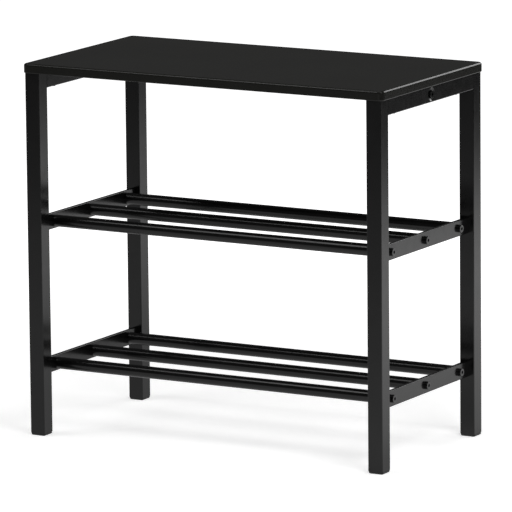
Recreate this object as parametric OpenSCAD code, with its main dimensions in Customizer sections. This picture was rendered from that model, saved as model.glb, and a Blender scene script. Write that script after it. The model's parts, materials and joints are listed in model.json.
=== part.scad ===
// Two-tier shoe rack with a seat board: square-tube side frames, joined by round shelf tubes.
// Origin at floor level in the middle of the footprint. +X right, +Y back, +Z up.

/* [Frame] */
// Width over the outer faces of the legs
frame_w = 500; // [400:10:900]
// Depth over the outer faces of the legs
frame_d = 260; // [240:5:340]
// Height from the floor to the underside of the seat board
frame_h = 458; // [400:1:560]
// Outer size of the square tube of the legs and top rails
tube_s = 20; // [20:1:30]
// Wall thickness of the square tube
tube_wall = 1.2; // [1:0.1:2]
// Outer corner radius of the square tube
tube_r = 1; // [0.8:0.1:2]

/* [Seat board] */
// Thickness of the seat board
board_t = 12; // [11:1:25]
// How far the board stands out past the legs at the left and right
board_overhang_x = 3; // [0:0.5:10]
// How far the board stands out past the legs at the front and back
board_overhang_y = 2; // [0:0.5:10]
// Radius of the board's corners, seen from above
board_corner_r = 7; // [4.5:0.5:12]
// Radius along the board's top edge
board_top_r = 3; // [1:0.5:4]
// Radius along the board's bottom edge
board_bottom_r = 1; // [0.5:0.1:1.5]

/* [Shelves] */
// Height of the lower shelf's tube centres above the floor
lower_shelf_z = 86; // [60:1:120]
// Height from the lower shelf to the upper shelf
shelf_spacing = 181; // [150:1:200]
// Distance between the tube centres of a shelf, front to back
shelf_pitch = 88; // [70:1:88]
// Outer diameter of the shelf tubes and the crossbar
bar_d = 15; // [14:0.5:18]
// Wall thickness of the shelf tubes and the crossbar
bar_wall = 1.2; // [1:0.1:1.5]
// Height of the flat shelf rails
rail_h = 20; // [18:1:25]
// Thickness of the flat shelf rails
rail_t = 5; // [3:0.5:6]
// How far the flat shelf rails' outer faces are set in from the legs' outer faces
rail_inset = 9; // [5:0.5:13]
// Radius along the edges of the flat shelf rails
rail_edge_r = 0.8; // [0.3:0.1:1.2]

/* [Screws] */
// Thread diameter of the low-head cap screws
bolt_d = 6; // [5:0.5:6]
// Head diameter of the low-head cap screws
bolt_head_d = 10; // [9.5:0.1:11]
// Head height of the low-head cap screws
bolt_head_h = 4; // [3:0.1:5]
// Radius along the top edge of the heads
bolt_edge_r = 0.5; // [0.2:0.1:0.8]
// Hexagon socket size across flats
bolt_socket = 4; // [3:0.5:4]
// Depth of the pressed dimples in the top rails that the crossbar screws sit in
dimple_depth = 2.3; // [0.5:0.1:2.5]
// Diameter of the dimples at the face of the top rails
dimple_d = 17; // [14:0.5:17.5]
// Distance of the board screws from the middle of the top rails
board_screw_y = 80; // [50:1:90]
// Diameter of the board screws
board_screw_d = 4; // [3.5:0.1:4.5]

/* [Feet] */
// Thickness of the foot caps below the tube ends
foot_h = 3; // [2.5:0.5:5]
// Radius of the foot caps' corners, seen from below
foot_corner_r = 2.5; // [2.3:0.1:4]
// Radius along the foot caps' bottom edge
foot_edge_r = 2; // [0.5:0.1:2.2]
// How far the foot caps reach up into the tubes
foot_plug_h = 14; // [10:1:20]

/* [Hidden] */
$fn = 64;
steel_black = [0.09, 0.09, 0.09];
board_black = [0.13, 0.13, 0.13];
plastic_black = [0.06, 0.06, 0.06];
screw_black = [0.12, 0.12, 0.12];
zinc = [0.62, 0.62, 0.64];

LEFT = -1;
RIGHT = 1;
FRONT = -1;
BACK = 1;

// Centres of the legs, and the length of the rails between them
leg_x = (frame_w - tube_s) / 2;
leg_y = (frame_d - tube_s) / 2;
rail_len = frame_d - 2 * tube_s;
rail_x = frame_w / 2 - rail_inset - rail_t / 2;

// Shelf tubes reach from rail to rail, and the crossbar from top rail to top rail
upper_shelf_z = lower_shelf_z + shelf_spacing;
shelf_tube_len = 2 * rail_x - rail_t;
crossbar_len = frame_w - 2 * tube_s;
top_rail_z = frame_h - tube_s / 2;

// Threaded plugs in the tube ends
plug_clear = 0.05;
plug_d = bar_d - 2 * bar_wall - 2 * plug_clear;
plug_len = 16;
thread_clear = 0.05;
bolt_hole_d = bolt_d + 0.6;
shelf_bolt_len = rail_t + 12;
crossbar_bolt_len = tube_s - dimple_depth + 12;
bolt_socket_depth = 2.3;
dimple_floor_d = bolt_head_d + 1;

// Wood screws from below through both walls of the top rails into the board
board_screw_bite = 9;
board_screw_len = tube_s + board_screw_bite;
board_screw_tip = 4;
board_screw_head_d = 2 * board_screw_d;
board_screw_head_h = 2.6;
board_screw_hole_d = board_screw_d + 0.5;
cross_slot_w = 1;
cross_slot_l = 4.4;
cross_slot_depth = 1.6;

// Foot caps
foot_rib_h = 1;
foot_rib_gap = 4;
foot_core_gap = 1.2;
foot_core_wall = 1.6;
foot_clear = 0.05;

overrun = 1;

// ---- shapes that repeat ----

// Rectangle with round corners, centred
module round_rect(w, d, r) {
  square([w - 2 * r, d], center = true);
  square([w, d - 2 * r], center = true);
  for (x = [-1, 1], y = [-1, 1])
    translate([x * (w / 2 - r), y * (d / 2 - r)])
      circle(r);
}

// Plate from z = 0 to z = h, with its upper edge rounded all the way round
module soft_top_plate(w, d, h, corner_r, edge_r) {
  band_z = h - edge_r;
  inner_r = corner_r - edge_r;
  linear_extrude(band_z)
    round_rect(w, d, corner_r);
  linear_extrude(h)
    round_rect(w - 2 * edge_r, d - 2 * edge_r, inner_r);
  for (s = [-1, 1]) {
    translate([0, s * (d / 2 - edge_r), band_z])
      rotate([0, 90, 0])
        cylinder(r = edge_r, h = w - 2 * corner_r, center = true);
    translate([s * (w / 2 - edge_r), 0, band_z])
      rotate([90, 0, 0])
        cylinder(r = edge_r, h = d - 2 * corner_r, center = true);
  }
  for (x = [-1, 1], y = [-1, 1])
    translate([x * (w / 2 - corner_r), y * (d / 2 - corner_r), band_z])
      rotate_extrude()
        round_rim(inner_r, edge_r);
}

// Quarter-round rim profile: a flat of radius inner_r that ends in an arc of radius edge_r
module round_rim(inner_r, edge_r) {
  square([inner_r, edge_r]);
  intersection() {
    translate([inner_r, 0])
      circle(edge_r);
    translate([inner_r, 0])
      square(edge_r);
  }
}

// Square tube along Z, with its lower end at the origin
module square_tube(len) {
  linear_extrude(len)
    difference() {
      round_rect(tube_s, tube_s, tube_r);
      square(tube_s - 2 * tube_wall, center = true);
    }
}

// Lays a shape that stands along Z down along X, with its lower end on the left
module along_x(len) {
  translate([-len / 2, 0, 0])
    rotate([0, 90, 0])
      children();
}

// Lays a shape that stands along Z down along Y, with its lower end at the front
module along_y(len) {
  translate([0, -len / 2, 0])
    rotate([-90, 0, 0])
      children();
}

// Places children at the three tube positions of a shelf
module at_shelf_tubes() {
  for (i = [-1, 0, 1])
    translate([0, i * shelf_pitch, 0])
      children();
}

// Turns children made for the right side to the given side
module to_side(side) {
  if (side == RIGHT)
    children();
  else
    mirror([1, 0, 0])
      children();
}

// ---- pieces ----

module leg(side, end) {
  color(steel_black)
    translate([side * leg_x, end * leg_y, foot_h])
      square_tube(frame_h - foot_h);
}

// End cap: a flange under the tube, and a hollow ribbed plug inside it
module foot(side, end) {
  core_w = tube_s - 2 * tube_wall - 2 * foot_core_gap;
  rib_w = tube_s - 2 * tube_wall - 2 * foot_clear;
  color(plastic_black)
    translate([side * leg_x, end * leg_y, 0]) {
      translate([0, 0, foot_h])
        mirror([0, 0, 1])
          soft_top_plate(tube_s, tube_s, foot_h, foot_corner_r, foot_edge_r);
      translate([0, 0, foot_h])
        linear_extrude(foot_plug_h)
          difference() {
            square(core_w, center = true);
            square(core_w - 2 * foot_core_wall, center = true);
          }
      for (z = [foot_rib_gap : foot_rib_gap : foot_plug_h - foot_rib_h])
        translate([0, 0, foot_h + z])
          linear_extrude(foot_rib_h)
            difference() {
              square(rib_w, center = true);
              square(core_w - 2 * foot_core_wall, center = true);
            }
    }
}

// Square tube between the legs, with a dimple in its outer wall. It is drilled across for the
// crossbar screw and up for the board screws.
module top_rail(side) {
  color(steel_black)
    translate([side * leg_x, 0, top_rail_z])
      difference() {
        union() {
          along_y(rail_len)
            square_tube(rail_len);
          to_side(side)
            dimple_cone(tube_s / 2 - tube_wall);
        }
        to_side(side)
          dimple_cone(tube_s / 2);
        rotate([0, 90, 0])
          cylinder(d = bolt_hole_d, h = tube_s + 2 * overrun, center = true);
        for (y = [-board_screw_y, board_screw_y])
          translate([0, y, 0])
            cylinder(d = board_screw_hole_d, h = tube_s + 2 * overrun, center = true);
      }
}

// Cone of the dimple, with its wide end at the given x and facing +X, and a short collar on it
module dimple_cone(wide_x) {
  translate([wide_x - dimple_depth, 0, 0])
    rotate([0, 90, 0]) {
      cylinder(d1 = dimple_floor_d, d2 = dimple_d, h = dimple_depth);
      translate([0, 0, dimple_depth])
        cylinder(d = dimple_d, h = tube_wall / 2);
    }
}

// Flat bar on edge between the legs, drilled for the three tube screws
module shelf_rail(side, z) {
  color(steel_black)
    translate([side * rail_x, 0, z])
      difference() {
        along_y(rail_len)
          linear_extrude(rail_len)
            round_rect(rail_t, rail_h, rail_edge_r);
        at_shelf_tubes()
          rotate([0, 90, 0])
            cylinder(d = bolt_hole_d, h = rail_t + 2 * overrun, center = true);
      }
}

// Round tube along X
module round_tube(len) {
  along_x(len)
    linear_extrude(len)
      difference() {
        circle(d = bar_d);
        circle(d = bar_d - 2 * bar_wall);
      }
}

module shelf_tube(row, z) {
  color(steel_black)
    translate([0, row * shelf_pitch, z])
      round_tube(shelf_tube_len);
}

// Threaded plug for the right-hand end of a round tube of the given length
module tube_plug(tube_len) {
  translate([tube_len / 2 - plug_len, 0, 0])
    rotate([0, 90, 0])
      linear_extrude(plug_len)
        difference() {
          circle(d = plug_d);
          circle(d = bolt_d + 2 * thread_clear);
        }
}

module shelf_plugs(z) {
  color(zinc)
    translate([0, 0, z])
      at_shelf_tubes()
        for (side = [LEFT, RIGHT])
          to_side(side)
            tube_plug(shelf_tube_len);
}

// Low-head cap screw with its head's underside at the origin, head towards +X
module cap_screw(len) {
  head_r = bolt_head_d / 2;
  socket_r = bolt_socket / sqrt(3);
  rim_z = bolt_head_h - bolt_edge_r;
  rotate([0, 90, 0])
    difference() {
      union() {
        cylinder(r = head_r, h = rim_z);
        translate([0, 0, rim_z])
          rotate_extrude()
            round_rim(head_r - bolt_edge_r, bolt_edge_r);
        translate([0, 0, -len])
          cylinder(d = bolt_d, h = len);
      }
      translate([0, 0, bolt_head_h - bolt_socket_depth])
        cylinder(r = socket_r, h = bolt_socket_depth + overrun, $fn = 6);
    }
}

module shelf_screws(side, z) {
  color(screw_black)
    translate([0, 0, z])
      to_side(side)
        at_shelf_tubes()
          translate([rail_x + rail_t / 2, 0, 0])
            cap_screw(shelf_bolt_len);
}

// Pan-head wood screw with its head's upper side at the origin, pointing up
module wood_screw() {
  shank_h = board_screw_len - board_screw_tip;
  difference() {
    union() {
      cylinder(d = board_screw_d, h = shank_h);
      translate([0, 0, shank_h])
        cylinder(d1 = board_screw_d, d2 = board_screw_d / 4, h = board_screw_tip);
      translate([0, 0, -board_screw_head_h])
        cylinder(d1 = board_screw_head_d * 0.7, d2 = board_screw_head_d, h = board_screw_head_h);
    }
    for (a = [0, 90])
      rotate([0, 0, a])
        translate([0, 0, -board_screw_head_h])
          cube([cross_slot_l, cross_slot_w, 2 * cross_slot_depth], center = true);
  }
}

// Places children under the four board screw positions, at the underside of the top rails
module at_board_screws() {
  for (x = [-leg_x, leg_x], y = [-board_screw_y, board_screw_y])
    translate([x, y, frame_h - tube_s])
      children();
}

// ---- nodes ----

module seat_board() {
  board_w = frame_w + 2 * board_overhang_x;
  board_d = frame_d + 2 * board_overhang_y;
  mid = board_t / 2;
  color(board_black)
    difference() {
      translate([0, 0, frame_h + mid]) {
        soft_top_plate(board_w, board_d, mid, board_corner_r, board_top_r);
        mirror([0, 0, 1])
          soft_top_plate(board_w, board_d, mid, board_corner_r, board_bottom_r);
      }
      at_board_screws()
        cylinder(d = board_screw_d, h = board_screw_len);
    }
}

module front_left_leg() leg(LEFT, FRONT);
module front_right_leg() leg(RIGHT, FRONT);
module back_left_leg() leg(LEFT, BACK);
module back_right_leg() leg(RIGHT, BACK);

module front_left_foot() foot(LEFT, FRONT);
module front_right_foot() foot(RIGHT, FRONT);
module back_left_foot() foot(LEFT, BACK);
module back_right_foot() foot(RIGHT, BACK);

module left_top_rail() top_rail(LEFT);
module right_top_rail() top_rail(RIGHT);

module left_upper_shelf_rail() shelf_rail(LEFT, upper_shelf_z);
module right_upper_shelf_rail() shelf_rail(RIGHT, upper_shelf_z);
module left_lower_shelf_rail() shelf_rail(LEFT, lower_shelf_z);
module right_lower_shelf_rail() shelf_rail(RIGHT, lower_shelf_z);

module upper_front_tube() shelf_tube(-1, upper_shelf_z);
module upper_middle_tube() shelf_tube(0, upper_shelf_z);
module upper_back_tube() shelf_tube(1, upper_shelf_z);
module lower_front_tube() shelf_tube(-1, lower_shelf_z);
module lower_middle_tube() shelf_tube(0, lower_shelf_z);
module lower_back_tube() shelf_tube(1, lower_shelf_z);

module crossbar() {
  color(steel_black)
    translate([0, 0, top_rail_z])
      round_tube(crossbar_len);
}

module upper_tube_plugs() shelf_plugs(upper_shelf_z);
module lower_tube_plugs() shelf_plugs(lower_shelf_z);

module crossbar_plugs() {
  color(zinc)
    translate([0, 0, top_rail_z])
      for (side = [LEFT, RIGHT])
        to_side(side)
          tube_plug(crossbar_len);
}

module left_upper_screws() shelf_screws(LEFT, upper_shelf_z);
module right_upper_screws() shelf_screws(RIGHT, upper_shelf_z);
module left_lower_screws() shelf_screws(LEFT, lower_shelf_z);
module right_lower_screws() shelf_screws(RIGHT, lower_shelf_z);

module crossbar_screws() {
  color(screw_black)
    translate([0, 0, top_rail_z])
      for (side = [LEFT, RIGHT])
        to_side(side)
          translate([frame_w / 2 - dimple_depth, 0, 0])
            cap_screw(crossbar_bolt_len);
}

module board_screws() {
  color(screw_black)
    at_board_screws()
      wood_screw();
}

seat_board();
front_left_leg();
front_right_leg();
back_left_leg();
back_right_leg();
front_left_foot();
front_right_foot();
back_left_foot();
back_right_foot();
left_top_rail();
right_top_rail();
left_upper_shelf_rail();
right_upper_shelf_rail();
left_lower_shelf_rail();
right_lower_shelf_rail();
upper_front_tube();
upper_middle_tube();
upper_back_tube();
lower_front_tube();
lower_middle_tube();
lower_back_tube();
crossbar();
upper_tube_plugs();
lower_tube_plugs();
crossbar_plugs();
left_upper_screws();
right_upper_screws();
left_lower_screws();
right_lower_screws();
crossbar_screws();
board_screws();
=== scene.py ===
"""Looks of the shoe rack: powder-coated frame, laminated seat board, plastic feet and black screws."""
import json
import math

import bpy
from mathutils import Matrix, Vector


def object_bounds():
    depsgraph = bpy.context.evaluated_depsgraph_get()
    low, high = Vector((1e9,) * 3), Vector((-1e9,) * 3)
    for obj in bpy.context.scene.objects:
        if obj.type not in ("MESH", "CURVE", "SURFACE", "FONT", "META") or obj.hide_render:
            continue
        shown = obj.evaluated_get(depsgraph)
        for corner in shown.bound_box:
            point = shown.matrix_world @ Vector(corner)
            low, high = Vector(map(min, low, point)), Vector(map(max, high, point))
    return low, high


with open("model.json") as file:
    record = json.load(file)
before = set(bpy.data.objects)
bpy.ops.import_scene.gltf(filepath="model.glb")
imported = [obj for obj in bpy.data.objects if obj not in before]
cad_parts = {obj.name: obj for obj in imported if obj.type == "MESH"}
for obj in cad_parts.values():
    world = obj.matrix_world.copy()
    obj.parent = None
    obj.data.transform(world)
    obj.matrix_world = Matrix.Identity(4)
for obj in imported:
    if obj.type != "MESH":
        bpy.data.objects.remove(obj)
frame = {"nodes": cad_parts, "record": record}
cad_low, cad_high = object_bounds()

scene = bpy.context.scene
slot_of = {s["node"]: s["material_slot"] for s in frame["record"]["subparts"]}

# ---------------------------------------------------------------- camera

CAMERA_AZIMUTH = math.radians(29.713)
CAMERA_ELEVATION = math.radians(10.628)
CAMERA_DISTANCE = 7.328
CAMERA_ROLL = math.radians(-0.556)
CAMERA_AIM = Vector((0.0025, 0.0, 0.2271))
CAMERA_LENS = 414.9
SENSOR_WIDTH = 36.0
CLIP_START, CLIP_END = 0.1, 100.0


def facing(place, way):
    """A placing at the given point that looks against the given direction, with its top up."""
    return Matrix.Translation(place) @ (-way).to_track_quat("-Z", "Y").to_matrix().to_4x4()


def make_camera():
    data = bpy.data.cameras.new("camera")
    data.sensor_width = SENSOR_WIDTH
    data.lens = CAMERA_LENS
    data.clip_start = CLIP_START
    data.clip_end = CLIP_END
    camera = bpy.data.objects.new("camera", data)
    scene.collection.objects.link(camera)
    back = Vector((
        math.sin(CAMERA_AZIMUTH) * math.cos(CAMERA_ELEVATION),
        -math.cos(CAMERA_AZIMUTH) * math.cos(CAMERA_ELEVATION),
        math.sin(CAMERA_ELEVATION),
    ))
    roll = Matrix.Rotation(CAMERA_ROLL, 4, "Z")
    camera.matrix_world = facing(CAMERA_AIM + back * CAMERA_DISTANCE, back) @ roll
    scene.camera = camera


make_camera()

# ---------------------------------------------------------------- node helpers

# Most of a noise texture's values lie between these
NOISE_LOW, NOISE_HIGH = 0.3, 0.7
# Wear shows only where its noise is above the first of these, and is full above the second
WEAR_LOW, WEAR_HIGH = 0.35, 0.65
WEAR_STRENGTH = 0.5
# Cosines of the angle between the true and the rounded normal: off an edge, and on one
OFF_EDGE, ON_EDGE = 0.99, 0.80
EDGE_SAMPLES = 4


class Nodes:
    """A material's or world's node tree, with short calls to add and join nodes."""

    def __init__(self, tree):
        self.tree = tree
        tree.nodes.clear()

    def add(self, kind, **settings):
        node = self.tree.nodes.new(kind)
        for name, value in settings.items():
            setattr(node, name, value)
        return node

    def link(self, output, socket):
        self.tree.links.new(output, socket)

    def value(self, socket, given):
        if isinstance(given, bpy.types.NodeSocket):
            self.link(given, socket)
        else:
            socket.default_value = given

    def math(self, operation, a, b=0.0):
        node = self.add("ShaderNodeMath", operation=operation)
        self.value(node.inputs[0], a)
        self.value(node.inputs[1], b)
        return node.outputs[0]

    def length(self, a, b):
        squares = self.math("ADD", self.math("MULTIPLY", a, a), self.math("MULTIPLY", b, b))
        return self.math("SQRT", squares)

    def ramp(self, given, low, high, out_low=0.0, out_high=1.0, smooth=True):
        node = self.add("ShaderNodeMapRange")
        node.interpolation_type = "SMOOTHSTEP" if smooth else "LINEAR"
        for socket, number in zip(node.inputs, (given, low, high, out_low, out_high)):
            self.value(socket, number)
        return node.outputs["Result"]

    def noise(self, vector, scale, detail):
        node = self.add("ShaderNodeTexNoise")
        self.link(vector, node.inputs["Vector"])
        node.inputs["Scale"].default_value = scale
        node.inputs["Detail"].default_value = detail
        return node.outputs["Fac"]

    def vary(self, noise, low=0.0, high=1.0):
        """A noise spread out between two values."""
        return self.ramp(noise, NOISE_LOW, NOISE_HIGH, low, high)

    def mix_colour(self, factor, a, b):
        node = self.add("ShaderNodeMix", data_type="RGBA")
        self.value(node.inputs["Factor"], factor)
        self.value(node.inputs["A"], a)
        self.value(node.inputs["B"], b)
        return node.outputs["Result"]

    def edge(self, radius):
        """One along sharp edges and zero on flat faces, over about the given radius."""
        bevel = self.add("ShaderNodeBevel", samples=EDGE_SAMPLES)
        bevel.inputs["Radius"].default_value = radius
        geometry = self.add("ShaderNodeNewGeometry")
        dot = self.add("ShaderNodeVectorMath", operation="DOT_PRODUCT")
        self.link(bevel.outputs["Normal"], dot.inputs[0])
        self.link(geometry.outputs["Normal"], dot.inputs[1])
        return self.ramp(dot.outputs["Value"], OFF_EDGE, ON_EDGE)

    def wear(self, where, radius, scale):
        """How worn the finish is: patchy, and only along edges."""
        patches = self.ramp(self.noise(where, scale, 4.0), WEAR_LOW, WEAR_HIGH)
        worn = self.math("MULTIPLY", self.edge(radius), patches)
        return self.math("MULTIPLY", worn, WEAR_STRENGTH)

    def bump(self, shader, height, strength, distance):
        node = self.add("ShaderNodeBump")
        node.inputs["Strength"].default_value = strength
        node.inputs["Distance"].default_value = distance
        self.link(height, node.inputs["Height"])
        self.link(node.outputs["Normal"], shader.inputs["Normal"])


def grey(level, warmth=0.0):
    """A near-neutral colour: warmth above zero takes some blue away."""
    return (level, level, level * (1.0 - warmth), 1.0)


def new_material(name):
    material = bpy.data.materials.new(name)
    material.use_nodes = True
    n = Nodes(material.node_tree)
    shader = n.add("ShaderNodeBsdfPrincipled")
    output = n.add("ShaderNodeOutputMaterial")
    n.link(shader.outputs["BSDF"], output.inputs["Surface"])
    where = n.add("ShaderNodeTexCoord").outputs["Object"]
    return material, n, shader, where


# ---------------------------------------------------------------- materials

BOARD_WARMTH_BASE, BOARD_WARMTH_PEARL = 0.16, 0.10


def powder_coat():
    """Black semi-gloss powder coat: fine orange peel, slight tone and gloss variation, worn edges."""
    material, n, shader, where = new_material("powder_coat")
    cloud = n.noise(where, 35.0, 4.0)
    speck = n.noise(where, 2600.0, 2.0)
    base = n.mix_colour(n.vary(cloud), grey(0.0030), grey(0.0045))
    speckled = n.mix_colour(n.ramp(speck, 0.62, 0.78, 0.0, 0.10), base, grey(0.014))
    coat = n.mix_colour(n.wear(where, 0.0006, 120.0), speckled, grey(0.030))
    n.link(coat, shader.inputs["Base Color"])
    n.link(n.vary(n.noise(where, 80.0, 3.0), 0.17, 0.21), shader.inputs["Roughness"])
    shader.inputs["IOR"].default_value = 1.5
    n.bump(shader, n.noise(where, 700.0, 2.0), 0.05, 0.00002)
    return material


def board_laminate():
    """Black melamine on board, with a very fine pearl texture and worn edges."""
    material, n, shader, where = new_material("board_laminate")
    cloud = n.noise(where, 12.0, 4.0)
    pearl = n.noise(where, 1500.0, 2.0)
    dark, light = (grey(level, BOARD_WARMTH_BASE) for level in (0.0085, 0.0105))
    base = n.mix_colour(n.vary(cloud), dark, light)
    fine = n.mix_colour(n.ramp(pearl, 0.45, 0.75, 0.0, 0.20), base, grey(0.014, BOARD_WARMTH_PEARL))
    film = n.mix_colour(n.wear(where, 0.0008, 90.0), fine, grey(0.030, BOARD_WARMTH_PEARL))
    n.link(film, shader.inputs["Base Color"])
    n.link(n.vary(n.noise(where, 300.0, 3.0), 0.20, 0.25), shader.inputs["Roughness"])
    shader.inputs["IOR"].default_value = 1.45
    n.bump(shader, pearl, 0.04, 0.00005)
    return material


def foot_plastic():
    """Moulded black polyethylene with a slight spark-eroded grain."""
    material, n, shader, where = new_material("foot_plastic")
    grain = n.noise(where, 1800.0, 2.0)
    n.link(n.mix_colour(n.vary(grain), grey(0.008), grey(0.014)), shader.inputs["Base Color"])
    n.link(n.vary(grain, 0.42, 0.52), shader.inputs["Roughness"])
    n.bump(shader, grain, 0.2, 0.00005)
    return material


def black_screw():
    """Black oxide steel, oiled: dark and fairly glossy."""
    material, n, shader, where = new_material("black_screw")
    stain = n.noise(where, 900.0, 3.0)
    n.link(n.mix_colour(n.vary(stain), grey(0.003), grey(0.006)), shader.inputs["Base Color"])
    n.link(n.vary(stain, 0.14, 0.20), shader.inputs["Roughness"])
    shader.inputs["IOR"].default_value = 1.55
    n.bump(shader, stain, 0.1, 0.00002)
    return material


def zinc_steel():
    """Bright zinc plating on the tube plugs."""
    material, n, shader, where = new_material("zinc_steel")
    cell = n.noise(where, 500.0, 3.0)
    n.link(n.mix_colour(n.vary(cell), grey(0.50), grey(0.62)), shader.inputs["Base Color"])
    n.link(n.vary(cell, 0.28, 0.42), shader.inputs["Roughness"])
    shader.inputs["Metallic"].default_value = 1.0
    n.bump(shader, cell, 0.1, 0.00002)
    return material


FINISHES = {
    "frame_powder_coat": powder_coat(),
    "board_laminate": board_laminate(),
    "foot_plastic": foot_plastic(),
    "black_screw": black_screw(),
    "zinc_steel": zinc_steel(),
}


def dress(piece, slot):
    """Gives a piece the finish that belongs to its slot in the record."""
    piece.data.materials.clear()
    piece.data.materials.append(FINISHES[slot])


for name, node in frame["nodes"].items():
    dress(node, slot_of[name])

# ---------------------------------------------------------------- floor, world and lights

FLOOR_HALF = 40.0
FLOOR_DIFFUSE = 0.78

# Each is a span in metres, and what the brightness goes from and to along it.
# The first is the glow that the camera sees, outwards from the rack's middle. The others shape the
# brightness that the rack's gloss mirrors: from the front, to the right and so on; the last is a
# painted shadow under the rack.
SEEN_GLOW = (0.3, 1.3, 0.58, 1.0)
FRONT_FADE = (-2.6, -0.5, 0.13, 0.50)
RIGHT_RISE = (-0.2, 0.9, 1.0, 2.1)
BACK_RISE = (0.0, 1.0, 1.0, 1.15)
RIGHT_FADE = (0.8, 1.6, 1.0, 0.08)
BACK_FADE = (1.2, 2.6, 1.0, 0.2)
LEFT_FADE = (-2.2, -0.8, 0.5, 1.0)
# Painted shadow: the mirrored sheet of light is darker around a point under the rack, where the
# board's shade falls.
UNDER_RACK_PAINTED_SHADOW = (0.05, 0.25, 0.7, 1.0)
PAINTED_SHADOW_X, PAINTED_SHADOW_Y = 0.17, -0.02

WORLD_MIRRORED, WORLD_SEEN = 0.068, 1.0


def seen_floor(n, x, y):
    """The floor as the camera sees it: white, with soft shadows."""
    emission = n.add("ShaderNodeEmission")
    n.link(n.ramp(n.length(x, y), *SEEN_GLOW), emission.inputs["Strength"])
    diffuse = n.add("ShaderNodeBsdfDiffuse")
    diffuse.inputs["Color"].default_value = grey(FLOOR_DIFFUSE)
    both = n.add("ShaderNodeAddShader")
    n.link(emission.outputs[0], both.inputs[0])
    n.link(diffuse.outputs[0], both.inputs[1])
    return both.outputs[0]


def mirrored_floor(n, x, y):
    """The floor as the gloss mirrors it: a sheet of light that fades away from the rack, with a
    painted shadow under the rack.
    """
    # Painted shadow: darkens the sheet around a point under the rack.
    painted_shadow_reach = n.length(n.math("SUBTRACT", x, PAINTED_SHADOW_X), n.math("SUBTRACT", y, PAINTED_SHADOW_Y))
    sheet = n.ramp(y, *FRONT_FADE)
    for place, span in ((x, RIGHT_RISE), (y, BACK_RISE), (x, RIGHT_FADE), (y, BACK_FADE),
                        (x, LEFT_FADE), (painted_shadow_reach, UNDER_RACK_PAINTED_SHADOW)):
        sheet = n.math("MULTIPLY", sheet, n.ramp(place, *span))
    emission = n.add("ShaderNodeEmission")
    n.link(sheet, emission.inputs["Strength"])
    return emission.outputs[0]


def make_floor():
    mesh = bpy.data.meshes.new("floor")
    corners = [Vector((x, y, 0.0)) * FLOOR_HALF for x, y in ((-1, -1), (1, -1), (1, 1), (-1, 1))]
    mesh.from_pydata(corners, [], [(0, 1, 2, 3)])
    floor = bpy.data.objects.new("floor", mesh)
    floor.location.z = cad_low.z
    scene.collection.objects.link(floor)

    material = bpy.data.materials.new("floor")
    material.use_nodes = True
    n = Nodes(material.node_tree)
    apart = n.add("ShaderNodeSeparateXYZ")
    n.link(n.add("ShaderNodeNewGeometry").outputs["Position"], apart.inputs[0])
    x, y = apart.outputs[0], apart.outputs[1]
    chosen = n.add("ShaderNodeMixShader")
    n.link(n.add("ShaderNodeLightPath").outputs["Is Camera Ray"], chosen.inputs[0])
    n.link(mirrored_floor(n, x, y), chosen.inputs[1])
    n.link(seen_floor(n, x, y), chosen.inputs[2])
    output = n.add("ShaderNodeOutputMaterial")
    n.link(chosen.outputs[0], output.inputs["Surface"])
    mesh.materials.append(material)


def make_world():
    """White behind everything, and a dim studio in the reflections."""
    world = bpy.data.worlds.new("studio")
    world.use_nodes = True
    n = Nodes(world.node_tree)
    seen = n.add("ShaderNodeLightPath").outputs["Is Camera Ray"]
    background = n.add("ShaderNodeBackground")
    strength = n.ramp(seen, 0.0, 1.0, WORLD_MIRRORED, WORLD_SEEN, smooth=False)
    n.link(strength, background.inputs["Strength"])
    output = n.add("ShaderNodeOutputWorld")
    n.link(background.outputs[0], output.inputs["Surface"])
    scene.world = world


def softbox(name, direction, distance, size, radiance, mirrored=True):
    """An area light of a stated surface brightness that faces the rack's middle from a direction.

    The gloss mirrors it, unless mirrored is false: then it only lights and casts shadows.
    """
    width, height = size
    data = bpy.data.lights.new(name, "AREA")
    data.shape = "RECTANGLE"
    data.size = width
    data.size_y = height
    data.energy = radiance * math.pi * width * height
    light = bpy.data.objects.new(name, data)
    way = Vector(direction).normalized()
    light.matrix_world = facing((cad_low + cad_high) / 2 + way * distance, way)
    light.visible_camera = False
    light.visible_glossy = mirrored
    scene.collection.objects.link(light)


make_floor()
make_world()

softbox("key_softbox", (-0.385, -0.444, 0.752), 2.4, (0.85, 0.8), 2.2)
softbox("back_softbox", (0.32, 0.853, 0.42), 2.6, (1.6, 0.9), 3.4)
softbox("right_softbox", (0.75, -0.35, 0.70), 2.4, (1.2, 1.2), 1.2)
softbox("top_softbox", (0.0, 0.1, 1.0), 2.2, (1.6, 1.2), 0.8)

softbox("right_front_lamp", (0.80, -0.50, 0.75), 2.6, (1.0, 1.0), 5.2, mirrored=False)
softbox("left_front_lamp", (-0.80, -0.45, 0.80), 2.6, (1.1, 1.1), 3.2, mirrored=False)
softbox("front_lamp", (0.20, -0.97, 0.90), 2.6, (1.3, 1.3), 1.2, mirrored=False)
softbox("right_back_lamp", (0.87, 0.50, 0.80), 2.6, (1.1, 1.1), 2.0, mirrored=False)

scene.view_settings.view_transform = "Standard"
scene.view_settings.look = "None"
